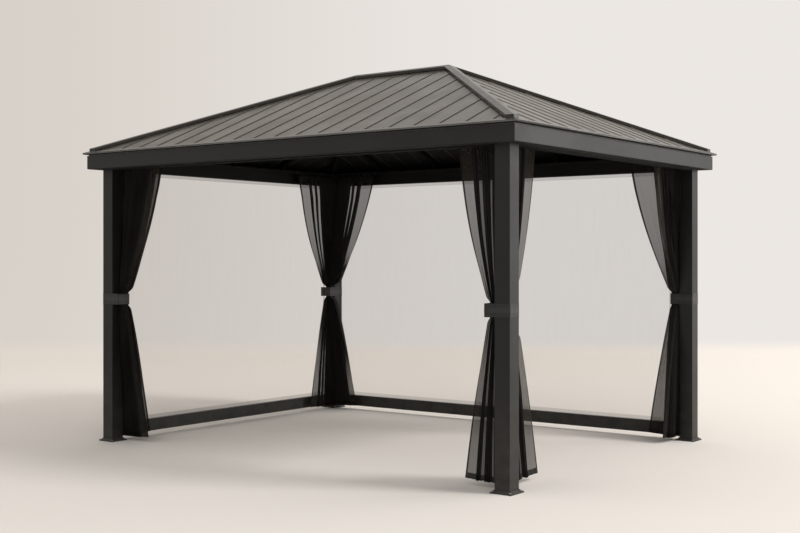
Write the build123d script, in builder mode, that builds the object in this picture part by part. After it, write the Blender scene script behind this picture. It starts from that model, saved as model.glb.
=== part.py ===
from build123d import *
from math import atan, atan2, cos, degrees, sqrt
import os

# Hardtop gazebo: four square posts, a ring of headers, a hipped roof of ribbed
# sheet, net walls on two sides and tied-back curtains at every post.
# Millimetres, +Z up, origin on the floor under the middle of the roof, X along
# the ridge.  The front is towards -Y.

# ---- overall sizes -------------------------------------------------------
roof_length = 3900.0        # eave to eave along X
roof_width = 3000.0         # eave to eave along Y
roof_height = 2870.0        # floor to the top of the ridge cap
header_top = 2200.0         # floor to the top of posts, headers and fascia
eave_overhang = 110.0       # drip edge beyond the outer face of the posts

# ---- posts and feet ------------------------------------------------------
post_size = 107.0
post_wall = 2.5
post_corner_r = 3.0         # the bore's corners are sharp, as in an extruded post
foot_size = 152.0
foot_edge = 6.0             # height of the upright edge, and floor of the socket
foot_height = 22.0
foot_rim = 4.0              # flat rim round the socket
socket_clearance = 0.4
socket_mouth = 2.5          # chamfer round the top of the socket
anchor_spacing = 124.0
anchor_hole_r = 5.5
anchor_head_r = 9.5
anchor_seat = 8.0           # metal left under the bolt head

# ---- headers, fascia and rails -------------------------------------------
header_width = 80.0
header_height = 110.0
tube_wall = 2.5
fascia_setback = 25.0       # fascia behind the drip edge
fascia_height = 103.0
fascia_sheet = 2.5
fascia_top_flange = 45.0
fascia_back_leg = 40.0
fascia_bend = 4.0           # bend along the fascia's lower edge
fascia_joint = 1.2          # gap where two fascias meet at a corner
rail_width = 40.0
rail_height = 95.0
rail_bottom = 35.0

# ---- curtain track -------------------------------------------------------
track_sheet = 2.5
track_width = 27.0
track_depth = 14.0
track_slot = 9.0
track_clearance = 2.0       # inner face of the posts to the track

# ---- roof ----------------------------------------------------------------
eave_rise = 15.0            # header top up to the flats of the sheets, at the drip edge
sheet = 2.0
sheet_setback = 20.0        # sheets end behind the drip edge, inside the trim
rib_pitch = 195.0
rib_base = 9.0
rib_top = 5.0
rib_height = 4.0
sheet_joint = 3.0           # gap between neighbouring sheets under a cap
trim_sheet = 2.0
trim_flange = 55.0          # bottom flange, back from the drip edge
trim_cover = 36.0           # top flange over the sheets' edges
trim_step = 9.0             # shadow gap above the fascia, its height and depth
trim_lip = 3.0              # lower edge of the trim's face proud of the fascia
trim_clearance = 2.0        # hip rafters' tails clear of the trim
seat_gap = 0.3              # clearance between pieces that lie on each other
mitre_gap = 0.2
rafter_width = 30.0
rafter_depth = 40.0
rafter_bend = 60.0
rafter_pitch = 620.0
rafter_foot = 42.0          # outer face of the posts to the rafter's foot
hip_width = 50.0
hip_depth = 70.0
ridge_width = 50.0
ridge_depth = 80.0
cap_half_width = 40.0
cap_lift = 26.5             # top of the caps above the line where the sheets' flats meet
cap_sheet = 2.0
cap_clearance = 1.5         # turned-down lower end behind the edge of the trim

# ---- curtains, nets and ties ---------------------------------------------
net_thickness = 5.0
curtain_bottom = 30.0
curtain_thickness = 40.0
curtain_setback = 45.0      # inner face of the posts to the tracks and the curtains tied across
curtain_tuck = 22.0         # a hung curtain's near edge behind the post beside it
curtain_head = 130.0        # straight part, below the header's underside
beside_belly = 80.0         # how far a free edge bows out above and below the tie, where
across_belly = 130.0        # the cloth hangs beside the post, and where it comes round to it
# each post's two curtains, the one tied beside it first: outer face of the post to the free edge
spread_top = {
    "front_left": (540.0, 500.0),
    "front_right": (470.0, 530.0),
    "back_right": (520.0, 520.0),
    "back_left": (660.0, 610.0),
}
spread_bottom = {
    "front_left": (380.0, 370.0),
    "front_right": (410.0, 560.0),
    "back_right": (360.0, 360.0),
    "back_left": (490.0, 400.0),
}
tie_bottom = 1054.0
tie_height = 87.0
tie_wall = 3.0
bundle_width = 71.0         # gathered cloth beside the post, and round it in the tie
bundle_thickness = 22.0
bundle_gap = 2.0            # between a bundle, the post and the other bundle
bundle_inset = 4.0          # bundle tied across clear of the tie's inner corner

# ---- derived -------------------------------------------------------------
half_x = roof_length / 2
half_y = roof_width / 2
post_x = half_x - eave_overhang
post_y = half_y - eave_overhang
ridge_half = half_x - half_y
fascia_out = eave_overhang - fascia_setback
header_bottom = header_top - header_height
eave_z = header_top + eave_rise
apex_z = roof_height - cap_lift
slope_tan = (apex_z - eave_z) / half_y
slope_cos = cos(atan(slope_tan))
hip_tan = slope_tan / sqrt(2)
hip_cos = cos(atan(hip_tan))
sheet_under = sheet / slope_cos    # sheet thickness, measured upright
rib_crown = (rib_height + seat_gap) / slope_cos    # a seat on the ribs above the flats, upright
track_offset = post_size + track_clearance    # from the outer face of the posts
curtain_start = post_size + curtain_setback

corners = {
    "front_left": (-1, -1),
    "front_right": (1, -1),
    "back_right": (1, 1),
    "back_left": (-1, 1),
}
# each side: its outward direction, and the half length of its eave
sides = {
    "front": (Vector(0, -1, 0), half_x),
    "back": (Vector(0, 1, 0), half_x),
    "left": (Vector(-1, 0, 0), half_y),
    "right": (Vector(1, 0, 0), half_y),
}
up = Vector(0, 0, 1)

os.makedirs("parts", exist_ok=True)


def save(part, name):
    part.label = name
    export_step(part, f"parts/{name}.step")


def along(out):
    """Direction along a side, turning left from its outward direction."""
    return up.cross(out)


def section(out, start):
    """Plane across a side's run: local x points outward, local y points up."""
    return Plane(origin=along(out) * start, x_dir=out, z_dir=-along(out))


def reach(out):
    """Distance from the middle to the drip edge of a side."""
    return half_y if abs(out.Y) > 0.5 else half_x


def hip_planes(out, gap):
    """The two upright planes through a side's hips, facing out of its slope."""
    planes = []
    for turn in (-1, 1):
        run = along(out) * turn
        start = along(out) * turn * ridge_half if abs(out.Y) > 0.5 else out * ridge_half
        normal = (run - out).normalized()
        planes.append(Plane(origin=start - normal * gap, z_dir=normal))
    return planes


def under_sheet(distance, depth):
    """Height of a line that runs under the sheet, depth below its lower face
    (square to the slope), at a distance in from the drip edge."""
    return eave_z + distance * slope_tan - sheet_under - (seat_gap + depth) / slope_cos


def over_ribs(distance, rise):
    """Height of a line that runs over the ribs' crowns, rise above a seat on them."""
    return eave_z + distance * slope_tan + rib_crown + rise / slope_cos


# ---- posts and their feet ------------------------------------------------
for corner, (sx, sy) in corners.items():
    cx = sx * (post_x - post_size / 2)
    cy = sy * (post_y - post_size / 2)

    with BuildPart() as post:
        with BuildSketch(Plane((cx, cy, foot_edge))):
            RectangleRounded(post_size, post_size, post_corner_r)
            Rectangle(post_size - 2 * post_wall, post_size - 2 * post_wall, mode=Mode.SUBTRACT)
        extrude(amount=header_top - foot_edge)
    save(post.part, f"post_{corner}")

    with BuildPart() as foot:
        with BuildSketch(Plane((cx, cy, 0))):
            Rectangle(foot_size, foot_size)
        extrude(amount=foot_edge)
        with BuildSketch(Plane((cx, cy, foot_edge))):
            Rectangle(foot_size, foot_size)
        bevel_run = (foot_size - post_size) / 2 - foot_rim
        extrude(amount=foot_height - foot_edge, taper=degrees(atan2(bevel_run, foot_height - foot_edge)))
        with BuildSketch(Plane((cx, cy, foot_edge))):
            socket = post_size + 2 * socket_clearance
            Rectangle(socket, socket)
        extrude(amount=foot_height, mode=Mode.SUBTRACT)
        rim = foot.faces().sort_by(Axis.Z)[-1]
        chamfer(rim.inner_wires()[0].edges(), length=socket_mouth)
        with Locations(Plane((cx, cy, foot_height))):
            with GridLocations(anchor_spacing, anchor_spacing, 2, 2):
                CounterBoreHole(anchor_hole_r, anchor_head_r, foot_height - anchor_seat, foot_height)
    save(foot.part, f"post_base_{corner}")


# ---- headers, curtain tracks and fascia, side by side ---------------------
with BuildPart() as curtain_tracks:
    for out, half in sides.values():
        face = reach(out) - eave_overhang
        run = 2 * (half - eave_overhang - curtain_start)
        fold = track_sheet / 2
        leg = face - header_width - fold
        near = face - track_offset - fold
        far = face - track_offset - track_width + fold
        lip = (track_width - track_slot) / 2 - fold
        with BuildSketch(section(out, -run / 2)):
            # leg on the header's inner face, top, far side and its lip
            with BuildLine():
                Polyline(
                    (leg, header_top - track_depth),
                    (leg, header_top - fold),
                    (far, header_top - fold),
                    (far, header_top - track_depth + fold),
                    (far + lip, header_top - track_depth + fold),
                )
            trace(line_width=track_sheet)
            # near side and its lip, across the slot from the other
            with BuildLine():
                Polyline(
                    (near, header_top - fold),
                    (near, header_top - track_depth + fold),
                    (near - lip, header_top - track_depth + fold),
                )
            trace(line_width=track_sheet)
        extrude(amount=-run)
save(curtain_tracks.part, "curtain_tracks")

for side, (out, half) in sides.items():
    face = reach(out) - eave_overhang
    run = 2 * (half - eave_overhang - post_size)

    with BuildPart() as header:
        with BuildSketch(section(out, -run / 2)):
            with Locations((face - header_width / 2, header_top - header_height / 2)):
                Rectangle(header_width, header_height)
                Rectangle(
                    header_width - 2 * tube_wall,
                    header_height - 2 * tube_wall,
                    mode=Mode.SUBTRACT,
                )
        extrude(amount=-run)
    save(header.part, f"header_{side}")

    with BuildPart() as fascia:
        with BuildSketch(section(out, -half)):
            fold = fascia_sheet / 2
            front = face + fascia_out - fold
            back = front + fold - fascia_top_flange
            roof = header_top - fold
            floor = header_top - fascia_height + fold
            with BuildLine():
                Line((back, roof), (front, roof))
                FilletPolyline((front, roof), (front, floor), (face + fold, floor), radius=fascia_bend)
                Line((face + fold, floor), (face + fold, floor - fold + fascia_back_leg))
            trace(line_width=fascia_sheet)
        extrude(amount=-2 * half)
        for plane in hip_planes(out, fascia_joint / 2):
            split(bisect_by=plane, keep=Keep.BOTTOM)
    save(fascia.part, f"fascia_{side}")

# ---- roof sheets ---------------------------------------------------------
for side, (out, half) in sides.items():
    edge = reach(out)
    slope = Plane(
        origin=out * edge + up * eave_z,
        x_dir=along(out),
        z_dir=out * (slope_tan * slope_cos) + up * slope_cos,
    )
    # cross-section of the folded sheet, looking up the slope
    cross = Plane(origin=slope.origin, x_dir=slope.x_dir, z_dir=-slope.y_dir)
    rows = int((half - rib_base) // rib_pitch)
    pan = -sheet / 2
    crown = rib_height - sheet / 2
    outline = [(-half, pan)]
    for row in range(-rows, rows + 1):
        at = row * rib_pitch
        outline += [
            (at - rib_base / 2, pan),
            (at - rib_top / 2, crown),
            (at + rib_top / 2, crown),
            (at + rib_base / 2, pan),
        ]
    outline += [(half, pan)]

    with BuildPart() as roof_panel:
        with BuildSketch(cross):
            with BuildLine():
                Polyline(*outline)
            trace(line_width=sheet)
        extrude(amount=half_y / slope_cos + rib_height, both=True)
        for plane in hip_planes(out, sheet_joint / 2):
            split(bisect_by=plane, keep=Keep.BOTTOM)
        split(bisect_by=Plane(origin=out * (sheet_joint / 2), z_dir=out), keep=Keep.TOP)
        split(bisect_by=Plane(origin=out * (edge - sheet_setback), z_dir=out), keep=Keep.BOTTOM)
    save(roof_panel.part, f"roof_panel_{side}")


# ---- eave trim: folded round the sheets' edges, above a shadow gap --------
trim_runs = []
for out, half in sides.values():
    edge = reach(out)
    fold = trim_sheet / 2
    fascia_face = edge - fascia_setback
    step_z = header_top + trim_step
    with BuildPart() as trim_run:
        with BuildSketch(section(out, -half)):
            with BuildLine():
                Polyline(
                    (edge - trim_flange, header_top + fold),
                    (fascia_face - trim_step, header_top + fold),
                    (fascia_face - trim_step, step_z),
                    (fascia_face + trim_lip, step_z),
                    (edge - fold, over_ribs(fold, fold)),
                    (edge - trim_cover, over_ribs(trim_cover, fold)),
                )
            trace(line_width=trim_sheet)
        extrude(amount=-2 * half)
        for plane in hip_planes(out, mitre_gap / 2):
            split(bisect_by=plane, keep=Keep.BOTTOM)
        split(bisect_by=Plane(origin=out * edge, z_dir=out), keep=Keep.BOTTOM)
    trim_runs.append(trim_run.part)

with BuildPart() as eave_trim:
    add(trim_runs)
save(eave_trim.part, "eave_trim")

# ---- roof frame ----------------------------------------------------------
with BuildPart() as ridge_beam:
    top = under_sheet(half_y - ridge_width / 2, 0)
    with Locations((0, 0, top - ridge_depth / 2)):
        Box(2 * ridge_half, ridge_width, ridge_depth)
save(ridge_beam.part, "ridge_beam")

hips = []
for sx, sy in corners.values():
    run = Vector(sx, sy, 0).normalized()
    top = under_sheet(half_y, 0) - hip_width / 2 * hip_tan
    head = -hip_width
    tail = sqrt(2) * (half_y - trim_flange - trim_clearance) - hip_width / 2
    depth = hip_depth / hip_cos
    seat = (top - depth - header_top) / hip_tan
    with BuildPart() as hip:
        with BuildSketch(Plane(origin=(sx * ridge_half, 0, 0), x_dir=run, z_dir=run.cross(up))):
            with BuildLine():
                Polyline(
                    (head, top - head * hip_tan),
                    (tail, top - tail * hip_tan),
                    (tail, header_top),
                    (seat, header_top),
                    (head, top - depth - head * hip_tan),
                    close=True,
                )
            make_face()
        extrude(amount=hip_width / 2, both=True)
        # mitred against the end of the ridge beam and the opposite hip
        split(bisect_by=Plane((sx * (ridge_half + seat_gap), 0, 0), z_dir=(sx, 0, 0)), keep=Keep.TOP)
        split(bisect_by=Plane((0, sy * mitre_gap / 2, 0), z_dir=(0, sy, 0)), keep=Keep.TOP)
    hips.append(hip.part)

with BuildPart() as hip_rafters:
    add(hips)
save(hip_rafters.part, "hip_rafters")

for side, (out, half) in sides.items():
    face = reach(out) - eave_overhang
    foot_at = face - rafter_foot
    inner = reach(out) - half_y
    centre = rafter_depth / 2
    rows = int((half - eave_overhang - post_size) // rafter_pitch)
    with BuildPart() as rafters:
        for row in range(-rows, rows + 1):
            with BuildSketch(section(out, row * rafter_pitch)):
                with BuildLine():
                    FilletPolyline(
                        (foot_at, header_top),
                        (foot_at, under_sheet(eave_overhang + rafter_foot, centre)),
                        (inner, under_sheet(half_y, centre)),
                        radius=rafter_bend,
                    )
                trace(line_width=rafter_depth)
            extrude(amount=rafter_width / 2, both=True)
        for plane in hip_planes(out, hip_width / 2 + seat_gap):
            split(bisect_by=plane, keep=Keep.BOTTOM)
        split(bisect_by=Plane(origin=out * (ridge_width / 2 + seat_gap), z_dir=out), keep=Keep.TOP)
    save(rafters.part, f"rafters_{side}")

# ---- caps over the ridge and the hips ------------------------------------
def cap_outline(fall, inset):
    """Outline across a cap: its crest, two wings that fall outward, and flanges
    that stand on the ribs.  With an inset it is the hollow inside the sheet."""
    crest = roof_height - inset * sqrt(1 + fall * fall)
    half_width = cap_half_width - inset
    foot = roof_height - cap_half_width * fall - cap_lift + rib_crown - inset
    return [
        (0, crest),
        (half_width, crest - half_width * fall),
        (half_width, foot),
        (0, foot + half_width * fall),
        (-half_width, foot),
        (-half_width, crest - half_width * fall),
    ]


def ridge_mitres(sx, gap):
    """The two planes where a ridge cap meets the hip caps at one end."""
    planes = []
    for sy in (-1, 1):
        # square to the bisector of the ridge and the hip
        normal = (Vector(sx, 0, 0) + Vector(sx, sy, 0).normalized()).normalized()
        planes.append(Plane(origin=Vector(sx * ridge_half, 0, 0) - normal * gap, z_dir=normal))
    return planes


with BuildPart() as ridge_cap:
    with BuildSketch(Plane(origin=(-half_x, 0, 0), x_dir=(0, 1, 0), z_dir=(1, 0, 0))):
        with BuildLine():
            Polyline(*cap_outline(slope_tan, 0), close=True)
        make_face()
        with BuildLine():
            Polyline(*cap_outline(slope_tan, cap_sheet), close=True)
        make_face(mode=Mode.SUBTRACT)
    extrude(amount=2 * half_x)
    for sx in (-1, 1):
        for plane in ridge_mitres(sx, mitre_gap / 2):
            split(bisect_by=plane, keep=Keep.BOTTOM)
save(ridge_cap.part, "ridge_cap")

for corner, (sx, sy) in corners.items():
    run = Vector(sx, sy, 0).normalized()
    fall = run - up * hip_tan
    start = Vector(sx * ridge_half, 0, 0) - fall * (2 * cap_half_width)
    across_hip = Plane(origin=start, x_dir=up.cross(run), z_dir=run)
    # the outside, then the hollow, which stops short of the turned-down lower end
    blanks = []
    for inset in (0, cap_sheet):
        from_eave = trim_cover + cap_clearance + inset
        with BuildPart() as blank:
            with BuildSketch(across_hip):
                with BuildLine():
                    Polyline(*cap_outline(hip_tan, inset), close=True)
                make_face()
            extrude(amount=sqrt(2) * half_y * fall.length + 4 * cap_half_width, dir=fall.normalized())
            split(bisect_by=Plane((sx * (half_x - from_eave), 0, 0), z_dir=(sx, 0, 0)), keep=Keep.BOTTOM)
            split(bisect_by=Plane((0, sy * (half_y - from_eave), 0), z_dir=(0, sy, 0)), keep=Keep.BOTTOM)
        blanks.append(blank.part)

    with BuildPart() as hip_cap:
        add(blanks[0])
        add(blanks[1], mode=Mode.SUBTRACT)
        split(bisect_by=ridge_mitres(sx, -mitre_gap / 2)[(sy + 1) // 2], keep=Keep.TOP)
        split(bisect_by=Plane((0, sy * mitre_gap / 2, 0), z_dir=(0, sy, 0)), keep=Keep.TOP)
    save(hip_cap.part, f"hip_cap_{corner}")

# ---- bottom rails and nets on the two closed sides -----------------------
tie_reach = post_size + bundle_gap + bundle_width + seat_gap + tie_wall
tie_round = post_size + seat_gap + tie_wall

for side in ("left", "back"):
    out, half = sides[side]
    middle = reach(out) - eave_overhang - post_size / 2

    with BuildPart() as rail:
        run = 2 * (half - eave_overhang - post_size)
        with BuildSketch(section(out, -run / 2)):
            with Locations((middle, rail_bottom + rail_height / 2)):
                Rectangle(rail_width, rail_height)
                Rectangle(rail_width - 2 * tube_wall, rail_height - 2 * tube_wall, mode=Mode.SUBTRACT)
        extrude(amount=-run)
    save(rail.part, f"bottom_rail_{side}")

    # the net ends clear of the ties: one reaches along this side, one is only round its post
    with BuildPart() as net:
        start, end = (half - eave_overhang - span - bundle_gap for span in (tie_reach, tie_round))
        low = rail_bottom + rail_height + seat_gap
        high = header_bottom - seat_gap
        with BuildSketch(section(out, -start)):
            with Locations((middle, (low + high) / 2)):
                Rectangle(net_thickness, high - low)
        extrude(amount=-(start + end))
    save(net.part, f"net_{side}")

# ---- curtains and their ties ---------------------------------------------
tie_top = tie_bottom + tie_height
curtain_heights = (
    curtain_bottom,
    tie_bottom,
    tie_top,
    header_bottom - curtain_head,
    header_top - track_depth - seat_gap,
)


def edge_points(turn, face, offsets):
    """A curtain's edge, bottom to top, at distances in from the outer face of its post."""
    return [(turn * (face - offset), z) for offset, z in zip(offsets, curtain_heights)]


hung = (track_offset, track_offset + curtain_thickness)
beside = (post_size + bundle_gap, post_size + bundle_gap + bundle_width)
back_bundle = (post_size - bundle_inset - bundle_thickness, post_size - bundle_inset)
front_bundle = tuple(offset - bundle_thickness - bundle_gap for offset in back_bundle)

for corner, (sx, sy) in corners.items():
    # the post seen square to one bay and to the other; the tie reaches along the first
    looks = [(Plane.XZ, sx, post_x), (Plane.YZ, sy, post_y)]
    if corner == "back_left":
        looks.reverse()
    along_tie, across_tie = looks
    # each curtain: where it starts, how it bows, then a look square to it and a look at its
    # edge, with its tied span in each
    views = (
        (post_size - curtain_tuck, beside_belly, (*along_tie, beside), (*across_tie, front_bundle)),
        (curtain_start, across_belly, (*across_tie, back_bundle), (*along_tie, beside)),
    )
    pair = []
    for (start, belly, (square, turn, face, tied), (edge_on, turn_on, face_on, tied_on)), top, bottom in zip(
        views, spread_top[corner], spread_bottom[corner]
    ):
        with BuildPart() as curtain:
            # straight beside the post, and a free edge that bows out above and below the tie
            near = edge_points(turn, face, (start, tied[0], tied[0], start, start))
            hem, low, high, shoulder, head = edge_points(turn, face, (bottom, tied[1], tied[1], top, top))
            with BuildSketch(square):
                with BuildLine():
                    Polyline(hem, *near, head, shoulder)
                    SagittaArc(shoulder, high, -turn * belly)
                    Line(high, low)
                    SagittaArc(low, hem, -turn * belly)
                make_face()
            extrude(amount=half_x, both=True)
            # the cloth's fullness, drawn in to the bundle in the tie
            outer, inner = (
                edge_points(turn_on, face_on, (hung[end], tied_on[end], tied_on[end], hung[end], hung[end]))
                for end in (0, 1)
            )
            with BuildSketch(edge_on):
                with BuildLine():
                    Polyline(*outer, *reversed(inner), close=True)
                make_face()
            extrude(amount=half_x, both=True, mode=Mode.INTERSECT)
            # clear of the post that it hangs beside and partly behind
            with BuildSketch(Plane((sx * (post_x - beside[0] / 2), sy * (post_y - beside[0] / 2), 0))):
                Rectangle(beside[0], beside[0])
            extrude(amount=header_top, mode=Mode.SUBTRACT)
        pair.append(curtain.part)

    with BuildPart() as curtains:
        add(pair)
    save(curtains.part, f"curtains_{corner}")

    with BuildPart() as tie:
        inner = [tie_reach - tie_wall + seat_gap, post_size + 2 * seat_gap]
        if corner == "back_left":
            inner.reverse()
        cx = sx * (post_x + seat_gap - inner[0] / 2)
        cy = sy * (post_y + seat_gap - inner[1] / 2)
        with BuildSketch(Plane((cx, cy, tie_bottom))):
            RectangleRounded(inner[0] + 2 * tie_wall, inner[1] + 2 * tie_wall, 2 * tie_wall)
            Rectangle(*inner, mode=Mode.SUBTRACT)
        extrude(amount=tie_height)
    save(tie.part, f"curtain_tie_{corner}")
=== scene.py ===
from math import cos, pi, radians, sin
from random import Random

import bmesh
import bpy
from mathutils import Matrix, Vector


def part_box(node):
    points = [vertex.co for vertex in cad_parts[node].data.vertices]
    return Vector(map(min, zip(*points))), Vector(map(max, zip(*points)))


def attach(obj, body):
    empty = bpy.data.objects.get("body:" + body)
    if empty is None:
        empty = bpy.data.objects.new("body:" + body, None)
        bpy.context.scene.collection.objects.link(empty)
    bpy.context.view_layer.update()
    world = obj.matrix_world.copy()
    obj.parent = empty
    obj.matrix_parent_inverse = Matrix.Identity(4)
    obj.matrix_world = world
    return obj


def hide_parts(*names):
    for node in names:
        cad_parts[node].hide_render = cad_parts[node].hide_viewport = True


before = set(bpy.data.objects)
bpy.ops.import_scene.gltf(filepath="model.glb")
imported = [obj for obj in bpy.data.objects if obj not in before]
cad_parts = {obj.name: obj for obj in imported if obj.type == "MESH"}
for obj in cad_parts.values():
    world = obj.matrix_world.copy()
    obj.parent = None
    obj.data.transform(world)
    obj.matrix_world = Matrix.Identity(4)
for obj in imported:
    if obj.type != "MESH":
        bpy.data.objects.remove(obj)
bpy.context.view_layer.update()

# The looks of a hardtop gazebo: its coats of paint, its cloth and its small fittings.
# Metres, +Z up.  The long open bay faces -Y and the short open bay +X.

scene = bpy.context.scene
scene.view_settings.view_transform = "Standard"

corners = {
    "front_left": (-1, -1),
    "front_right": (1, -1),
    "back_right": (1, 1),
    "back_left": (-1, 1),
}
warm_white = (1.0, 0.985, 0.965)


# ---- short ways to build node trees -----------------------------------------


class Nodes:
    """Adds, sets and joins the nodes of one tree."""

    def __init__(self, tree):
        self.tree = tree

    def fill(self, node, inputs):
        """Sets a node's inputs, by name or number, to plain values or other nodes' outputs."""
        for label, value in inputs.items():
            if isinstance(value, bpy.types.NodeSocket):
                self.tree.links.new(value, node.inputs[label])
            elif value is not None:
                node.inputs[label].default_value = value

    def add(self, kind, inputs=None, **settings):
        node = self.tree.nodes.new(kind)
        for name, value in settings.items():
            setattr(node, name, value)
        self.fill(node, inputs or {})
        return node

    def calc(self, operation, first, second=None, clamp=False):
        """One step of arithmetic."""
        return self.add("ShaderNodeMath", {0: first, 1: second}, operation=operation,
                        use_clamp=clamp).outputs[0]

    def dot(self, first, second):
        return self.add("ShaderNodeVectorMath", {0: first, 1: second},
                        operation="DOT_PRODUCT").outputs["Value"]

    def stretch(self, vector, factors):
        """A vector multiplied part by part."""
        return self.add("ShaderNodeVectorMath", {0: vector, 1: factors},
                        operation="MULTIPLY").outputs[0]

    def parts(self, vector):
        """A vector's X, Y and Z."""
        return self.add("ShaderNodeSeparateXYZ", {0: vector}).outputs

    def ramp(self, value, low, high, start=0.0, end=1.0):
        """A smooth step of a value from low to high, put out as start to end."""
        ends = {"From Min": low, "From Max": high, "To Min": start, "To Max": end}
        return self.add("ShaderNodeMapRange", {"Value": value, **ends},
                        interpolation_type="SMOOTHSTEP").outputs["Result"]

    def noise(self, place, scale, detail=3.0, roughness=0.55):
        inputs = {"Vector": place, "Scale": scale, "Detail": detail, "Roughness": roughness}
        return self.add("ShaderNodeTexNoise", inputs).outputs["Fac"]

    def blend(self, share, first, second):
        """Two colours mixed by a mask; each is three numbers or a socket."""
        first, second = (value if isinstance(value, bpy.types.NodeSocket) else (*value, 1)
                         for value in (first, second))
        return self.add("ShaderNodeMix", {"Factor": share, "A": first, "B": second},
                        data_type="RGBA").outputs["Result"]

    def mix(self, share, first, second):
        """Two shaders mixed by a mask."""
        return self.add("ShaderNodeMixShader", {0: share, 1: first, 2: second}).outputs[0]

    def bump(self, height, strength, distance, normal=None):
        inputs = {"Height": height, "Strength": strength, "Distance": distance, "Normal": normal}
        return self.add("ShaderNodeBump", inputs).outputs["Normal"]

    def place(self):
        """Where a point lies on its piece."""
        return self.add("ShaderNodeTexCoord").outputs["Object"]

    def seen_rays(self):
        """1 for rays from the camera, off a gloss or through a sheet, 0 for the light itself."""
        path = self.add("ShaderNodeLightPath").outputs
        either = self.calc("MAXIMUM", path["Is Camera Ray"], path["Is Glossy Ray"])
        return self.calc("MAXIMUM", either, path["Is Transmission Ray"])


def new_material(name):
    """A material, its nodes and its shader."""
    material = bpy.data.materials.new(name)
    material.use_nodes = True
    return material, Nodes(material.node_tree), material.node_tree.nodes["Principled BSDF"]


def node_group(name, inputs, outputs):
    """A group of nodes with named sockets: its tree, its nodes, what it takes and gives."""
    tree = bpy.data.node_groups.new(name, "ShaderNodeTree")
    for label, (kind, value) in inputs.items():
        socket = tree.interface.new_socket(label, in_out="INPUT", socket_type=kind)
        socket.default_value = value
    for label, kind in outputs.items():
        tree.interface.new_socket(label, in_out="OUTPUT", socket_type=kind)
    nodes = Nodes(tree)
    ends = nodes.add("NodeGroupOutput")
    return tree, nodes, nodes.add("NodeGroupInput").outputs, lambda given: nodes.fill(ends, given)


# ---- camera, light and floor ------------------------------------------------

camera_turn = radians(36.68)    # round from -Y towards +X

camera = bpy.data.objects.new("camera", bpy.data.cameras.new("camera"))
camera.data.sensor_width = 36
camera.data.lens = 55.15
camera.data.shift_y = -0.00994
camera.data.clip_end = 200
camera.location = (5.6711, -7.626, 1.408)
camera.rotation_euler = (radians(90), 0, camera_turn)
scene.collection.objects.link(camera)
scene.camera = camera


def soft_box(name, towards, distance, size, power):
    """A square lamp that shines on the gazebo's middle from a direction."""
    lamp = bpy.data.lights.new(name, "AREA")
    lamp.size = size
    lamp.energy = power
    lamp.color = warm_white
    holder = bpy.data.objects.new(name, lamp)
    direction = Vector(towards).normalized()
    holder.location = Vector((0, 0, 1.2)) + direction * distance
    holder.rotation_euler = direction.to_track_quat("Z", "Y").to_euler()
    holder.visible_camera = False
    scene.collection.objects.link(holder)


soft_box("key_softbox", (0.96, 0.28, 0.78), 25.0, 6.5, 3080)
soft_box("side_softbox", (0.62, 0.85, 0.40), 20.0, 9.0, 430)
soft_box("low_softbox", (0.74, 0.67, 0.10), 20.0, 6.0, 400)

world = bpy.data.worlds.new("studio")
scene.world = world
world.use_nodes = True
world.node_tree.nodes.clear()
nodes = Nodes(world.node_tree)
air = nodes.add("ShaderNodeBackground", {"Color": (*warm_white, 1), "Strength": 0.68})
backdrop = nodes.add("ShaderNodeBackground", {"Color": (0.79, 0.75, 0.71, 1)})
either = nodes.mix(nodes.seen_rays(), air.outputs[0], backdrop.outputs[0])
nodes.add("ShaderNodeOutputWorld", {"Surface": either})

# a paper floor that sweeps up into a wall, square to the camera
sweep_reach, wall_at, wall_top = 30.0, 11.0, 16.0
cove, cove_steps = 3.0, 12
sweep_mesh = bpy.data.meshes.new("floor_sweep")
sweep = bpy.data.objects.new("floor_sweep", sweep_mesh)
scene.collection.objects.link(sweep)
line = [(-sweep_reach, 0.0), (wall_at - cove, 0.0)]
for step in range(1, cove_steps + 1):
    turn = step / cove_steps * pi / 2
    line.append((wall_at - cove + cove * sin(turn), cove - cove * cos(turn)))
line.append((wall_at, wall_top))
bm = bmesh.new()
verts = [bm.verts.new((-sweep_reach, y, z)) for y, z in line]
edges = [bm.edges.new(pair) for pair in zip(verts, verts[1:])]
made = bmesh.ops.extrude_edge_only(bm, edges=edges)["geom"]
far_side = [item for item in made if isinstance(item, bmesh.types.BMVert)]
bmesh.ops.translate(bm, verts=far_side, vec=(2 * sweep_reach, 0, 0))
bmesh.ops.rotate(bm, verts=bm.verts, matrix=Matrix.Rotation(camera_turn, 3, "Z"))
for face in bm.faces:
    face.smooth = True
    if face.normal.z < -0.1:
        face.normal_flip()
bm.to_mesh(sweep_mesh)
bm.free()

# the wall part glows a little, from a darker left to a lighter right: painted light that stands in
# for its lighting
wall_left, wall_right = (0.680, 0.631, 0.579), (0.838, 0.799, 0.768)
paper, nodes, skin = new_material("floor_paper")
nodes.fill(skin, {"Base Color": (0.838, 0.792, 0.744, 1), "Roughness": 0.9,
                  "Specular IOR Level": 0.1})
place = nodes.place()
across = nodes.dot(place, (cos(camera_turn), sin(camera_turn), 0))
tone = nodes.blend(nodes.ramp(across, -7.5, 3.0), wall_left, wall_right)
wall = nodes.add("ShaderNodeEmission", {"Color": tone})
rise = nodes.ramp(nodes.parts(place)["Z"], 0.0, 0.2)
both = nodes.mix(nodes.calc("MULTIPLY", rise, nodes.seen_rays()), skin.outputs[0], wall.outputs[0])
# the sweep can be looked through from behind
from_behind = nodes.add("ShaderNodeNewGeometry").outputs["Backfacing"]
clear = nodes.add("ShaderNodeBsdfTransparent")
one_sided = nodes.mix(from_behind, both, clear.outputs[0])
nodes.fill(paper.node_tree.nodes["Material Output"], {"Surface": one_sided})
sweep_mesh.materials.append(paper)
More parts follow.
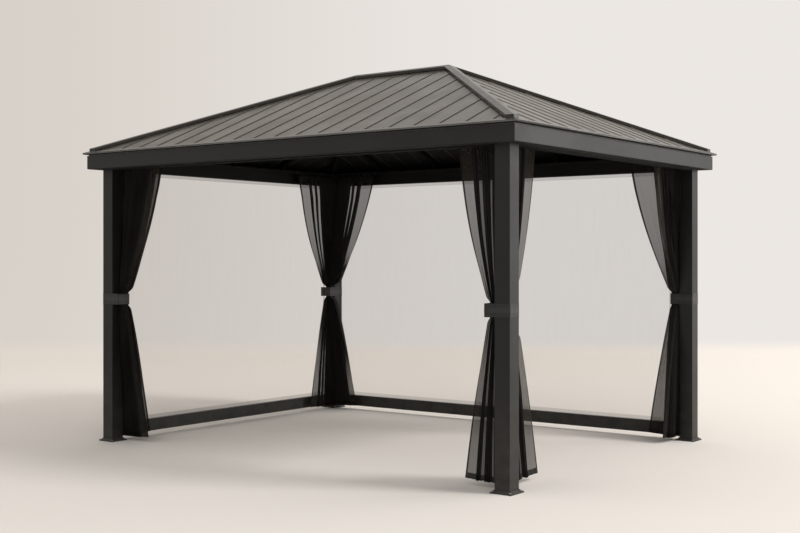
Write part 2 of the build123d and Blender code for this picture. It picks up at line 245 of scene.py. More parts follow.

# ---- finishes of the metal --------------------------------------------------

# the coat's orange peel, its cloudy unevenness, and the lighter rub along edges: wear, and a
# painted highlight
coat_detail, nodes, taken, give = node_group(
    "coat_detail",
    {"Peel": ("NodeSocketFloat", 420.0), "Edge": ("NodeSocketFloat", 0.003)},
    {"Clouds": "NodeSocketFloat", "Peel": "NodeSocketFloat", "Rub and highlight": "NodeSocketFloat",
     "Normal": "NodeSocketVector"},
)
place = nodes.place()
rounded = nodes.add("ShaderNodeBevel", {"Radius": taken["Edge"]}, samples=4).outputs["Normal"]
flat_on = nodes.dot(rounded, nodes.add("ShaderNodeNewGeometry").outputs["Normal"])
edge_patches = nodes.ramp(nodes.noise(place, 14.0, 4.0), 0.35, 0.75)
give({
    "Clouds": nodes.ramp(nodes.noise(place, 2.6, 5.0, 0.6), 0.32, 0.70),
    "Peel": nodes.noise(place, taken["Peel"], 1.0, 0.5),
    "Rub and highlight": nodes.calc("MULTIPLY", nodes.ramp(flat_on, 0.97, 0.80), edge_patches),
    "Normal": rounded,
})

# dust that lies on ledges, soil that splashes up from the floor and also stands for painted light
# thrown up from it, and what faces down, where shade is painted
dust_fall, nodes, taken, give = node_group(
    "dust_fall",
    {"Splash height": ("NodeSocketFloat", 0.75)},
    {"Ledge": "NodeSocketFloat", "Splash and floor light": "NodeSocketFloat", "Shaded underside": "NodeSocketFloat"},
)
place = nodes.place()
facing_up = nodes.parts(nodes.add("ShaderNodeNewGeometry").outputs["Normal"])["Z"]
patches = nodes.ramp(nodes.noise(place, 9.0, 6.0, 0.65), 0.30, 0.72)
height = nodes.calc("DIVIDE", nodes.parts(place)["Z"], taken["Splash height"])
low = nodes.ramp(height, 1.0, 0.0)
give({
    "Ledge": nodes.calc("MULTIPLY", nodes.ramp(facing_up, 0.75, 0.98), patches),
    "Splash and floor light": nodes.calc("MULTIPLY", low, nodes.calc("ADD", patches, 0.35), clamp=True),
    "Shaded underside": nodes.ramp(facing_up, -0.45, -0.85),
})

# rain marks down a slope, and dirt with painted shade along the feet of its ribs
rain_marks, nodes, taken, give = node_group(
    "rain_marks",
    {"Stretch": ("NodeSocketVector", (1.0, 1.0, 1.0)),
     "Across": ("NodeSocketVector", (1.0, 0.0, 0.0)), "Pitch": ("NodeSocketFloat", 0.195)},
    {"Streaks": "NodeSocketFloat", "Rib foot dirt and shade": "NodeSocketFloat"},
)
place = nodes.place()
streaks = nodes.noise(nodes.stretch(place, taken["Stretch"]), 7.0, 4.0, 0.6)
half_pitch = nodes.calc("MULTIPLY", taken["Pitch"], 0.5)
to_rib = nodes.calc("PINGPONG", nodes.dot(place, taken["Across"]), half_pitch)
give({
    "Streaks": nodes.ramp(streaks, 0.34, 0.68),
    "Rib foot dirt and shade": nodes.calc("MULTIPLY", nodes.ramp(to_rib, 0.0030, 0.0042),
                           nodes.ramp(to_rib, 0.0095, 0.0065)),
})

# near black: painted shade on faces that face down, and dirt with painted shade at the ribs' feet
near_black = (0.004, 0.004, 0.004)
splash_soil_and_floor_light, ledge_dust = (0.16, 0.145, 0.125), (0.12, 0.11, 0.10)


def coat(name, colour, roughness, specular, rub_and_highlight_colour, splash_and_floor_light=0.0, roof=None, edge=0.003):
    """Powder coat on steel: uneven gloss, orange peel, edges rubbed lighter (wear and a painted
    highlight), dust, soil with painted floor light low down, undersides painted black as shade.
    roof gives a sloping sheet's stretch, its across direction and the dirt and painted shade along
    its ribs."""
    material, nodes, skin = new_material(name)
    detail = nodes.add("ShaderNodeGroup", {"Edge": edge}, node_tree=coat_detail).outputs
    fall = nodes.add("ShaderNodeGroup", node_tree=dust_fall).outputs
    uneven = 0.08 if roof else 0.20
    darker, lighter = (tuple(share * part for part in colour) for share in (1 - uneven, 1 + uneven))
    tone = nodes.blend(detail["Clouds"], darker, lighter)
    gloss = nodes.ramp(detail["Clouds"], 0.0, 1.0, roughness - 0.035, roughness + 0.045)
    if roof:
        stretch, across, foot_dirt_and_shade = roof
        marks = nodes.add("ShaderNodeGroup", {"Stretch": stretch, "Across": across},
                          node_tree=rain_marks).outputs
        dusty = tuple(part + 0.012 for part in colour)
        tone = nodes.blend(nodes.calc("MULTIPLY", marks["Streaks"], 0.6), tone, dusty)
        gloss = nodes.calc("ADD", gloss, nodes.calc("MULTIPLY", marks["Streaks"], 0.05))
        # the ribs' feet darken towards near black: dirt, and painted shade of the seams
        foot = nodes.calc("MULTIPLY", marks["Rib foot dirt and shade"], foot_dirt_and_shade)
        tone = nodes.blend(foot, tone, near_black)
        gloss = nodes.calc("ADD", gloss, nodes.calc("MULTIPLY", foot, 0.5), clamp=True)
    # edges rubbed lighter: wear, and a painted highlight along them
    tone = nodes.blend(nodes.calc("MULTIPLY", detail["Rub and highlight"], 0.8), tone, rub_and_highlight_colour)
    # low down the lighter colour is splashed soil and also painted light thrown up from the floor
    if splash_and_floor_light:
        low_lightening_mask = nodes.calc("MULTIPLY", fall["Splash and floor light"], splash_and_floor_light)
        tone = nodes.blend(low_lightening_mask, tone, splash_soil_and_floor_light)
        tone = nodes.blend(nodes.calc("MULTIPLY", fall["Ledge"], 2.0 * splash_and_floor_light), tone, ledge_dust)
        gloss = nodes.calc("ADD", gloss, nodes.calc("MULTIPLY", low_lightening_mask, 0.6))
    # faces that face down are painted near black: painted shade; they are also made matt
    nodes.fill(skin, {
        "Base Color": nodes.blend(fall["Shaded underside"], tone, near_black),
        "Roughness": nodes.calc("MAXIMUM", gloss, fall["Shaded underside"]),
        "Specular IOR Level": specular,
        "Normal": nodes.bump(detail["Peel"], 0.12, 0.0006, detail["Normal"]),
    })
    return material


# a slope's stretch and across direction, and how much dirt and painted shade lies at its ribs' feet
along_x = ((1.0, 0.06, 0.06), (1.0, 0.0, 0.0), 1.0)
along_y = ((0.06, 1.0, 0.06), (0.0, 1.0, 0.0), 0.0)
grey_rub_and_highlight, sheet_rub_and_highlight = (0.10, 0.098, 0.094), (0.10, 0.09, 0.08)
post_coat = coat("post_coat", (0.010, 0.010, 0.0095), 0.40, 0.27, grey_rub_and_highlight, splash_and_floor_light=0.15)
foot_coat = coat("foot_coat", (0.012, 0.012, 0.0115), 0.46, 0.27, grey_rub_and_highlight, splash_and_floor_light=0.22)
fascia_coat = coat("fascia_coat", (0.013, 0.0128, 0.0122), 0.40, 0.27, grey_rub_and_highlight)
# the trim is a lighter copy of the fascia's paint, to stand for the light its face catches: painted
# light
trim_painted_light_coat = coat("trim_painted_light_coat", (0.060, 0.0575, 0.0545), 0.28, 0.40, (0.14, 0.135, 0.13))
frame_coat = coat("frame_coat", (0.006, 0.006, 0.006), 0.5, 0.12, (0.02, 0.02, 0.02))
# the rolled edge is painted much lighter than the trim: a painted highlight
bead_painted_highlight_coat = coat("bead_painted_highlight_coat", (0.10, 0.098, 0.094), 0.25, 0.60, (0.25, 0.245, 0.24), edge=0.0005)
cap_coat = coat("cap_coat", (0.023, 0.0195, 0.016), 0.28, 0.34, (0.16, 0.15, 0.14))
# the front and back sheets and the end sheets share one paint in two tones; the end sheets' lighter
# tone is painted light for the light falling on the end slopes
front_sheet_coat = coat("front_sheet_coat", (0.070, 0.060, 0.0485), 0.26, 0.27, sheet_rub_and_highlight,
                        roof=along_x)
end_sheet_painted_light_coat = coat("end_sheet_painted_light_coat", (0.100, 0.085, 0.069), 0.27, 0.38, sheet_rub_and_highlight,
                      roof=along_y)
glider_plastic = coat("glider_plastic", (0.03, 0.03, 0.03), 0.45, 0.4, (0.06, 0.06, 0.06))
zinc = coat("zinc_plate", (0.42, 0.43, 0.44), 0.38, 0.5, (0.6, 0.6, 0.6), splash_and_floor_light=0.12)
zinc.node_tree.nodes["Principled BSDF"].inputs["Metallic"].default_value = 1.0

# the coat of each piece, by the start of its name; the first that fits is used
finishes = [
    ("roof_panel_front", front_sheet_coat), ("roof_panel_back", front_sheet_coat),
    ("roof_panel", end_sheet_painted_light_coat), ("hip_cap", cap_coat), ("ridge_cap", cap_coat),
    ("eave_trim", trim_painted_light_coat), ("fascia", fascia_coat), ("post_base", foot_coat),
    ("post", post_coat), ("bottom_rail", post_coat), ("", frame_coat),
]
for name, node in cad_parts.items():
    node.data.materials.clear()
    node.data.materials.append(next(finish for start, finish in finishes if name.startswith(start)))

# ---- finishes of the cloth --------------------------------------------------

# the threads of woven cloth, slow streaks where they lie closer, and the doubled hems
cloth_detail, nodes, taken, give = node_group(
    "cloth_detail",
    {"Size": ("NodeSocketVector", (1.0, 2.0, 1.0)), "Threads": ("NodeSocketFloat", 260.0)},
    {"Weave": "NodeSocketFloat", "Streaks": "NodeSocketFloat", "Edge": "NodeSocketFloat",
     "Head": "NodeSocketFloat"},
)
flat = nodes.stretch(nodes.add("ShaderNodeTexCoord").outputs["UV"], taken["Size"])
at, size = nodes.parts(flat), nodes.parts(taken["Size"])
threads = [
    nodes.add("ShaderNodeTexWave", {"Vector": flat, "Scale": taken["Threads"], "Distortion": 1.4,
                                    "Detail": 1.0}, bands_direction=direction).outputs["Fac"]
    for direction in "XY"
]
to_far_edge = [nodes.calc("SUBTRACT", size[direction], at[direction]) for direction in "XY"]
to_side, to_end = (nodes.calc("MINIMUM", at[direction], far)
                   for direction, far in zip("XY", to_far_edge))
streaks = nodes.noise(nodes.stretch(flat, (1.0, 0.05, 1.0)), 42.0, 5.0, 0.65)
give({
    "Weave": nodes.calc("MAXIMUM", *threads),
    "Streaks": nodes.ramp(streaks, 0.30, 0.70),
    # a hem of 27 to 31 mm all round, and a heading of 44 to 48 mm
    "Edge": nodes.ramp(nodes.calc("MINIMUM", to_side, to_end), 0.031, 0.027),
    "Head": nodes.ramp(to_far_edge[1], 0.048, 0.044),
})

weave_share = 0.04    # how much the threads change what the cloth stops


def cloth(name, colour, cover, streak, edge_cover, size, threads, sheen=0.0, bunch_shade_colour=None):
    """Sheer woven cloth: cover is the part of the light that one layer stops. With a bunch
    shade colour the cover is read from the sheet, where gathers lay layer on layer, and the
    gathered cloth is painted darker towards that colour as shade."""
    material, nodes, skin = new_material(name)
    detail = nodes.add("ShaderNodeGroup", {"Size": (*size, 1.0), "Threads": threads},
                       node_tree=cloth_detail).outputs
    thick = detail["Edge"]
    tone = nodes.blend(detail["Streaks"], tuple(1.2 * part for part in colour), colour)
    layers = cover
    if bunch_shade_colour:
        layers = nodes.add("ShaderNodeAttribute", attribute_name="cover").outputs["Fac"]
        # gathered cloth is painted darker towards the bunch shade colour: painted shade of its
        # folds
        tone = nodes.blend(nodes.ramp(layers, cover, 0.95), tone, bunch_shade_colour)
        thick = nodes.calc("MAXIMUM", thick, detail["Head"])
    uneven = nodes.calc("ADD", nodes.calc("MULTIPLY", detail["Streaks"], streak),
                        nodes.calc("MULTIPLY", detail["Weave"], weave_share))
    woven = nodes.calc("ADD", uneven, nodes.calc("SUBTRACT", layers, (streak + weave_share) / 2))
    gap = nodes.calc("MAXIMUM", nodes.calc("SUBTRACT", edge_cover, woven), 0.0)
    stopped = nodes.calc("ADD", woven, nodes.calc("MULTIPLY", gap, thick), clamp=True)
    relief = nodes.calc("ADD", detail["Weave"], nodes.calc("MULTIPLY", thick, 1.5))
    nodes.fill(skin, {
        "Base Color": nodes.blend(thick, tone, tuple(0.5 * part for part in colour)),
        "Roughness": 0.85,
        "Specular IOR Level": 0.1,
        "Sheen Weight": sheen,
        "Sheen Roughness": 0.4,
        "Alpha": stopped,
        "Normal": nodes.bump(relief, 0.25, 0.0005),
    })
    return material


# ---- making pieces ----------------------------------------------------------

post_x, post_y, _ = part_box("post_back_right")[1]    # outer faces of the posts


def finish_piece(bm, name, material, smooth=False, turn_out=True):
    """Turns a bmesh into a named piece on the frame's one body."""
    if turn_out:
        bmesh.ops.recalc_face_normals(bm, faces=bm.faces)
    for face in bm.faces:
        face.smooth = smooth
    mesh = bpy.data.meshes.new(name)
    bm.to_mesh(mesh)
    bm.free()
    mesh.materials.append(material)
    piece = bpy.data.objects.new(name, mesh)
    scene.collection.objects.link(piece)
    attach(piece, "root")
    return piece


def at_corner(corner, long_bay, along, across, z):
    """A point given along a bay and across it from the outer faces of its corner post."""
    sx, sy = corners[corner]
    a, b = (along, across) if long_bay else (across, along)
    return Vector((sx * (post_x - a), sy * (post_y - b), z))


def smooth(value, low, high):
    share = min(1.0, max(0.0, (value - low) / (high - low)))
    return share * share * (3 - 2 * share)


# ---- curtains ---------------------------------------------------------------

tie_low, tie_high = (point[2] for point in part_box("curtain_tie_back_right"))
hem_z, shoulder_z, head_z, track_z = 0.030, 1.960, 2.172, 2.2
heights = (hem_z, tie_low, tie_high, shoulder_z, track_z)
flat_size = (1.10, 2.14)
one_layer = 0.68                # the part of the light that one layer stops
folds, fold_columns, gathers = 12, 32, 5
rows, rows_below, rows_above = 84, 0.46, 0.50    # in all, and the shares that end at the tie
row_crowding = 1.25             # rows lie closer towards the tie
post_clear = 0.1105             # outer face of a post to the space past its inner face

# outer face of the post to each curtain's near edge, free edge in the tie, and the space
# across it: for the curtain tied beside the post, and for the one that comes round to it
beside_post = {
    "near": (0.087, post_clear, post_clear, 0.087, 0.087), "tied": 0.180,
    "inner": (0.109, 0.057, 0.057, 0.109, 0.109),
    "outer": (0.149, 0.079, 0.079, 0.149, 0.149),
}
round_post = {
    "near": (0.153, 0.082, 0.082, 0.153, 0.153), "tied": 0.103,
    "inner": (0.109,) * 5,
    "outer": (0.149, 0.180, 0.180, 0.149, 0.149),
}
# how far each curtain spreads at its head and hem, how it springs out of the tie and bows
# above it, and its parts from the free edge on: the width along the rail, and how bunched
curtain_plan = {
    ("front_left", "long"): (0.540, 0.380, 0.06, 0.12, ((0.130, 0), (0.340, 1))),
    ("front_left", "short"): (0.500, 0.370, 0.08, 0.12, ((0.060, 0), (0.300, 1))),
    ("front_right", "long"): (0.470, 0.410, 0.06, 0.15, (
        (0.110, 0), (0.026, 1), (0.045, 0.4), (0.055, 1), (0.027, 0.4), (0.120, 1))),
    ("front_right", "short"): (0.530, 0.560, 0.50, 0.15, (
        (0.130, 0), (0.030, 1), (0.050, 0.4), (0.170, 1))),
    ("back_right", "long"): (0.520, 0.360, 0.06, 0.12, (
        (0.210, 0), (0.020, 1), (0.030, 0.4), (0.180, 1))),
    ("back_right", "short"): (0.520, 0.360, 0.08, 0.20, (
        (0.140, 0), (0.020, 1), (0.035, 0.4), (0.220, 1))),
    ("back_left", "short"): (0.660, 0.490, 0.08, 0.15, (
        (0.150, 0), (0.025, 1), (0.050, 0), (0.028, 1), (0.045, 0), (0.280, 1))),
    ("back_left", "long"): (0.610, 0.400, 0.14, 0.10, (
        (0.150, 0), (0.035, 1), (0.040, 0), (0.022, 1), (0.036, 0), (0.170, 1))),
}
bow_below = 0.05
# the bunch colour is painted shade for gathered cloth
curtain_cloth = cloth("curtain_cloth", (0.025, 0.0215, 0.018), one_layer, 0.04, 0.97, flat_size,
                      300.0, sheen=0.02, bunch_shade_colour=(0.017, 0.0165, 0.0155))


def read(table, z):
    """A value on a broken line through the curtain's heights."""
    for (z0, z1), (a, b) in zip(zip(heights, heights[1:]), zip(table, table[1:])):
        if z <= z1:
            return a + (b - a) * (z - z0) / (z1 - z0)
    return table[-1]


def soften(values, times):
    for _ in range(times):
        inside = [(a + 2 * b + c) / 4 for a, b, c in zip(values, values[1:], values[2:])]
        values = [values[0], *inside, values[-1]]
    return values


def fold_plan(parts, draw):
    """Folds from the free edge on: each column's place as a share of the width, its flat
    place, its phase, how bunched it is and how deep."""
    step, turn, bunched, deep = [], [], [], []
    gathered = sum(width for width, bunch in parts if bunch == 1)
    for width, bunch in parts:
        if bunch == 1:
            count = max(1, round(folds * width / gathered))
            for number in range(count):
                fold = width / count * draw.uniform(0.75, 1.25)
                depth = draw.uniform(0.86, 1.0) if number % 2 else draw.uniform(0.74, 0.92)
                step += [fold / fold_columns] * fold_columns
                turn += [2 * pi / fold_columns] * fold_columns
                bunched += [1.0] * fold_columns
                deep += [depth] * fold_columns
        else:
            count = max(6, round(width / 0.0035))
            step += [width / count] * count
            turn += [2 * pi * width / count / draw.uniform(0.042, 0.060)] * count
            bunched += [bunch] * count
            deep += [draw.uniform(0.7, 1.0)] * count
    step, turn, bunched, deep = (
        soften(values, times) for values, times in ((step, 6), (turn, 6), (bunched, 3), (deep, 8)))
    place, flat, phase = [0.0], [0.0], [0.0]
    for length, angle, bunch in zip(step, turn, bunched):
        place.append(place[-1] + length)
        flat.append(flat[-1] + length * (1 + 1.3 * bunch))
        phase.append(phase[-1] + angle)
    place, flat = ([value / values[-1] for value in values] for values in (place, flat))
    return place, flat, phase, [*bunched, bunched[-1]], [*deep, deep[-1]]


def row_height(row, low, high):
    """The height of a row, given as a share of the rows, between the hem and the head."""
    if row < rows_below:
        return tie_low - (tie_low - low) * (1 - row / rows_below) ** row_crowding
    if row > rows_above:
        share = (row - rows_above) / (1 - rows_above)
        return tie_high + (high - tie_high) * share ** row_crowding
    return tie_low + (tie_high - tie_low) * (row - rows_below) / (rows_above - rows_below)


def free_edge(z, tied, plan):
    """How far the free edge lies along the bay: it runs from the tie in a shallow bow."""
    top, bottom, lift, bow, _ = plan
    if z > tie_low:
        spread, away = top, (z - tie_high) / (head_z - tie_high)
    else:
        spread, bow, away = bottom, bow_below, (tie_low - z) / (tie_low - hem_z)
    away = max(0.0, min(1.0, away))
    sprung = smooth(away, 0.0, 0.02 + 0.24 * lift)
    opened = lift * sprung + (1 - lift) * (away + bow * sin(pi * away))
    return tied + (spread - 0.003 - tied) * opened


def curtain(corner, bay, seed):
    """One tied-back curtain: a single sheet in folds, hung from the track beside a post."""
    plan = curtain_plan[corner, bay]
    top, parts = plan[0], plan[-1]
    first = "short" if corner == "back_left" else "long"
    shape = beside_post if bay == first else round_post
    draw = Random(seed)
    place, flat, phase, bunched, deep = fold_plan(parts, draw)
    sway = [(draw.uniform(0.8, 2.2), draw.uniform(0, 2 * pi), draw.uniform(0.15, 0.5))
            for _ in range(3)]
    lean = draw.choice((-1, 1))
    columns = len(place) - 1
    bm = bmesh.new()
    uv = bm.loops.layers.uv.new("cloth")
    cover = bm.verts.layers.float.new("cover")
    bmesh.ops.create_grid(bm, x_segments=columns, y_segments=rows, size=0.5)
    for vert in bm.verts:
        column = round((vert.co.x + 0.5) * columns)
        row = vert.co.y + 0.5
        share, bunch = place[column], bunched[column]
        for loop in vert.link_loops:
            loop[uv].uv = (flat[column], row)
        # the hem hangs in shallow scallops, and the head dips between its hooks
        low = hem_z + 0.005 + 0.004 * sin(phase[column] + 1) * bunch + 0.008 * (1 - share) ** 2
        high = head_z - 0.012 * abs(sin(share * 8 * pi))
        z = row_height(row, low, high)
        # along the bay the cloth lies from p0 to p1, and across it from q0 to q1
        p1 = free_edge(z, shape["tied"], plan)
        p0 = read(shape["near"], z)
        q0, q1 = read(shape["inner"], z) + 0.001, read(shape["outer"], z) - 0.001
        drawn = (p1 - p0) / (top - shape["near"][-1])
        tight = 1 - smooth(drawn, 0.22, 0.62)
        wobble = sum(size * sin(rate * 3 * z + start + 2 * share) for rate, start, size in sway)
        angle = phase[column] + wobble * (0.4 + 0.6 * bunch)
        full = max(bunch, 0.85 * tight)
        depth = ((q1 - q0) / 2 - 0.0025) * deep[column] * (0.12 + 0.88 * full)
        depth *= 1 - 0.30 * smooth(z, shoulder_z, head_z)
        ends = min(1.0, share * 14, (1 - share) * 14)
        slip = 0.0060 * bunch * drawn * ends
        # fine gathers fan out of the tie and fade where the cloth opens
        fine = 0.0006 + 0.0009 * full + 0.0024 * tight
        fine *= sin(gathers * phase[column] + 3 * share + lean * z)
        p = min(max(p1 - (p1 - p0) * share + slip * sin(2 * angle + 0.6 * lean), p0), p1)
        q = min(max((q0 + q1) / 2 + depth * cos(angle) + fine, q0), q1)
        # the cloth keeps clear of the post
        if p < post_clear and q < post_clear:
            p, q = (post_clear, q) if p > q else (p, post_clear)
        vert.co = at_corner(corner, bay == "long", p, q, z)
        closer = 1 + 0.2 * smooth(tie_high - z, 0.0, 0.3)
        layers = closer / max(drawn, 0.1) ** 0.3 + 3 * smooth(bunch, 0.2, 0.9)
        vert[cover] = 1 - (1 - one_layer) ** max(1.0, layers)
    piece = finish_piece(bm, f"curtain_{corner}_{bay}", curtain_cloth, smooth=True,
                         turn_out=False)
    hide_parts(f"curtains_{corner}")


for number, (corner, bay) in enumerate(curtain_plan):
    curtain(corner, bay, 11 + number)

# ---- nets -------------------------------------------------------------------

net_colour = (0.055, 0.038, 0.024)
net_margin = 0.002              # clear of the rail and the header
wave_reach = 0.009


def net(name, node, cover, seed):
    """A fine net that fills a closed side, from rail to header, with slack ripples."""
    low, high = (Vector(point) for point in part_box(node))
    centre = (low + high) / 2
    run_axis = 0 if high.x - low.x > high.y - low.y else 1
    run = high[run_axis] - low[run_axis]
    tall = high.z - low.z
    draw = Random(seed)
    ripples = [(draw.uniform(0.12, 0.88), draw.uniform(0.018, 0.05),
                draw.uniform(-wave_reach, wave_reach)) for _ in range(14)]
    slow = [(draw.uniform(3, 16), draw.uniform(0, 2 * pi), draw.uniform(0.001, 0.0035))
            for _ in range(6)]
    bm = bmesh.new()
    bm.loops.layers.uv.new("cloth")
    bmesh.ops.create_grid(bm, x_segments=300, y_segments=24, size=0.5, calc_uvs=True)
    for vert in bm.verts:
        share, up = vert.co.x + 0.5, vert.co.y + 0.5
        slack = sum(size * sin(count * pi * share + start + 0.8 * up)
                    for count, start, size in slow)
        for middle, wide, size in ripples:
            away = (share + 0.012 * sin(3 * up + middle * 9) - middle) * run / wide
            slack += size * max(0.0, 1 - away * away) ** 2
        # pulled flat within half a metre of the posts, and at the rail and the header
        calm = min(1.0, share * run / 0.5, (1 - share) * run / 0.5)
        calm *= min(1.0, 10 * up, 14 * (1 - up))
        vert.co.z = low.z + net_margin + (tall - 2 * net_margin) * up
        vert.co[run_axis] = low[run_axis] + run * share
        vert.co[1 - run_axis] = centre[1 - run_axis] + slack * calm
    mesh_cloth = cloth(name + "_mesh", net_colour, cover, 0.012, 0.42, (run, tall), 420.0)
    piece = finish_piece(bm, name, mesh_cloth, smooth=True, turn_out=False)
    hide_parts(node)


net("side_net_left", "net_left", 0.17, 41)
net("side_net_back", "net_back", 0.225, 42)

# ---- ties -------------------------------------------------------------------

tie_cloth = cloth("tie_webbing", (0.016, 0.0157, 0.015), 1.02, 0.0, 1.0, (0.60, 0.087), 700.0,
                  sheen=0.1)
webbing = tie_cloth.node_tree.nodes["Principled BSDF"]
webbing.inputs["Roughness"].default_value = 0.45
webbing.inputs["Specular IOR Level"].default_value = 0.4
tie_inset, tie_round, tie_wall = 0.0018, 0.005, 0.0014


def round_rectangle(half_x, half_y, radius, share):
    """A point and its outward direction at a share of the way round a rounded rectangle,
    from its lower left along the bottom."""
    starts = [(-half_x + radius, -half_y), (half_x, -half_y + radius),
              (half_x - radius, half_y), (-half_x, half_y - radius)]
    runs = [(1, 0), (0, 1), (-1, 0), (0, -1)]
    legs = [2 * (half_x - radius), 2 * (half_y - radius)] * 2
    quarter = radius * pi / 2
    way = share * (sum(legs) + 4 * quarter)
    for leg, start, run in zip(legs, starts, runs):
        start, run = Vector(start), Vector(run)
        out = Vector((run.y, -run.x))
        if way <= leg:
            return start + run * way, out
        way -= leg
        if way <= quarter:
            turned = out * cos(way / radius) + run * sin(way / radius)
            return start + run * leg + (turned - out) * radius, turned
        way -= quarter
    return Vector(starts[0]), Vector((0, -1))


def tie(name, node, seed):
    """A soft band round a post and its gathered curtains, with a rolled hem top and bottom."""
    low, high = (Vector(point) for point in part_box(node))
    centre = (low + high) / 2
    half = (high - low) / 2
    tall = 2 * half.z
    draw = Random(seed)
    waves = [(draw.choice((5, 7, 9, 12)), draw.uniform(0, 2 * pi), draw.uniform(0.0002, 0.0005))
             for _ in range(4)]
    bm = bmesh.new()
    bm.loops.layers.uv.new("cloth")
    bmesh.ops.create_grid(bm, x_segments=160, y_segments=16, size=0.5, calc_uvs=True)
    for vert in bm.verts:
        share, up = vert.co.x + 0.5, vert.co.y + 0.5
        at, out = round_rectangle(half.x - tie_inset, half.y - tie_inset, tie_round, share)
        # hems stand proud, the stitched line beside them is drawn in, and the band puckers
        from_rim = min(up, 1 - up) * tall
        proud = 0.0006 if from_rim < 0.009 else (-0.0003 if from_rim < 0.013 else 0.0)
        pucker = sum(size * sin(2 * pi * count * share + start) for count, start, size in waves)
        at = at + out * (proud + pucker * sin(pi * up))
        droop = 0.00096 * sin(6 * pi * share + seed)
        vert.co = (centre.x + at.x, centre.y + at.y, low.z + 0.001 + (tall - 0.004) * up + droop)
    bmesh.ops.remove_doubles(bm, verts=bm.verts, dist=0.0001)
    bmesh.ops.recalc_face_normals(bm, faces=bm.faces)
    bmesh.ops.solidify(bm, geom=bm.faces[:], thickness=tie_wall)
    piece = finish_piece(bm, name, tie_cloth, smooth=True)
    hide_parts(node)


for number, corner in enumerate(corners):
    tie(f"tie_band_{corner}", f"curtain_tie_{corner}", 60 + number)

# ---- fittings ---------------------------------------------------------------

washer_thick = 0.0016
anchor_offset, anchor_seat = 0.062, 0.008


def soft_edges(bm, verts, offset, segments=1):
    """Bevels the edges that join the given corners."""
    edges = dict.fromkeys(edge for vert in verts for edge in vert.link_edges
                          if edge.other_vert(vert) in verts)
    bmesh.ops.bevel(bm, geom=list(edges), offset=offset, offset_type="OFFSET", segments=segments,
                    profile=0.5, affect="EDGES", material=-1)


def bolt(bm, seat, turn, across, tall, washer):
    """A washer and a six-sided head on it, pointing along a turned Z."""
    base = Matrix.Translation(seat) @ turn
    bmesh.ops.create_cone(bm, cap_ends=True, segments=20, radius1=washer, radius2=washer * 0.97,
                          depth=washer_thick,
                          matrix=base @ Matrix.Translation((0, 0, washer_thick / 2)))
    head = bmesh.ops.create_cone(bm, cap_ends=True, segments=6, radius1=across, radius2=across,
                                 depth=tall,
                                 matrix=base @ Matrix.Translation((0, 0, washer_thick + tall / 2)))
    middle = washer_thick + tall / 2
    top = [vert for vert in head["verts"] if (base.inverted() @ vert.co).z > middle]
    soft_edges(bm, top, 0.0009, 2)


def block(bm, corner, long_bay, middle, size, edge):
    """A small box with softened edges, set along and across a bay from its corner post."""
    made = bmesh.ops.create_cube(bm, size=1)["verts"]
    for vert in made:
        local = (m + s * c for m, s, c in zip(middle, size, vert.co))
        vert.co = at_corner(corner, long_bay, *local)
    soft_edges(bm, made, edge)


# four anchor bolts in each foot, each turned a little differently
bm = bmesh.new()
for corner in corners:
    low, high = (Vector(point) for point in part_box(f"post_base_{corner}"))
    middle = (low + high) / 2
    for x in (-1, 1):
        for y in (-1, 1):
            seat = (middle.x + x * anchor_offset, middle.y + y * anchor_offset, anchor_seat)
            turn = Matrix.Rotation(0.4 * x + 0.9 * y + middle.x, 4, "Z")
            bolt(bm, seat, turn, across=0.0075, tall=0.0055, washer=0.0088)
finish_piece(bm, "anchor_bolts", zinc)

# angle brackets that hold the bottom rails to the posts, on the inner side: a leg on the
# post and a leg on the rail, each with its middle and its size along, across and up
rail_ends = [("back_left", True), ("back_right", True), ("front_left", False), ("back_left", False)]
bracket_legs = [
    ((0.1084, 0.0870, 0.0825), (0.0025, 0.026, 0.070)),
    ((0.1262, 0.0749, 0.0825), (0.038, 0.0025, 0.070)),
]
bm = bmesh.new()
for corner, long_bay in rail_ends:
    for middle, size in bracket_legs:
        block(bm, corner, long_bay, middle, size, 0.0006)
finish_piece(bm, "rail_brackets", post_coat)

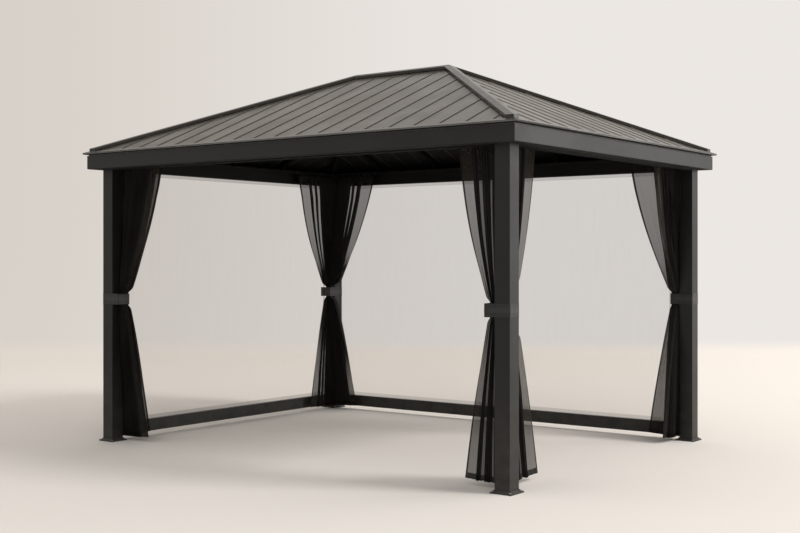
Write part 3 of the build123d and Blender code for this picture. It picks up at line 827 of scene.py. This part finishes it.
screw_along, screw_across = 0.1340, 0.0762
bm = bmesh.new()
for corner, long_bay in rail_ends:
    for z in (0.062, 0.103):
        seat = at_corner(corner, long_bay, screw_along, screw_across, z)
        inward = at_corner(corner, long_bay, screw_along, screw_across + 0.1, z) - seat
        turn = inward.to_track_quat("Z", "Y").to_matrix().to_4x4()
        bolt(bm, seat, turn, across=0.0052, tall=0.0035, washer=0.0062)
finish_piece(bm, "rail_screws", zinc)

# gliders in the tracks, each with an eye for a curtain's hook
gliders, first_glider, track_middle = 8, 0.163, 0.1225
glider_blocks = [(2.1925, (0.013, 0.017, 0.0050)), (2.1830, (0.004, 0.0055, 0.0160))]
bm = bmesh.new()
for (corner, bay), (top, *_) in curtain_plan.items():
    for number in range(gliders):
        along = first_glider + (top - 0.012 - first_glider) * number / (gliders - 1)
        for z, size in glider_blocks:
            block(bm, corner, bay == "long", (along, track_middle, z), size, 0.0008)
finish_piece(bm, "curtain_gliders", glider_plastic)

# the trim's rolled outer edge, four runs mitred at the corners, in a lighter coat that paints a
# highlight
_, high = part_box("eave_trim")
bead_half, bead_rise, bead_z = 0.0045, 0.0066, 2.2166
reach_x, reach_y = high[0] - bead_half, high[1] - bead_half
bm = bmesh.new()
for turn in range(4):
    half, reach = (reach_x, reach_y) if turn % 2 == 0 else (reach_y, reach_x)
    lay = Matrix.Translation((0, -reach, bead_z)) @ Matrix.Rotation(pi / 2, 4, "Y")
    tube = bmesh.ops.create_cone(bm, cap_ends=False, segments=12, radius1=bead_half,
                                 radius2=bead_half, depth=2 * half, matrix=lay)["verts"]
    for vert in tube:
        vert.co.x -= (vert.co.y + reach) * (1 if vert.co.x > 0 else -1)
        vert.co.z = bead_z + (vert.co.z - bead_z) * bead_rise / bead_half
    bmesh.ops.rotate(bm, verts=tube, matrix=Matrix.Rotation(turn * pi / 2, 3, "Z"))
bmesh.ops.remove_doubles(bm, verts=bm.verts, dist=0.0001)
finish_piece(bm, "trim_bead", bead_painted_highlight_coat, smooth=True)
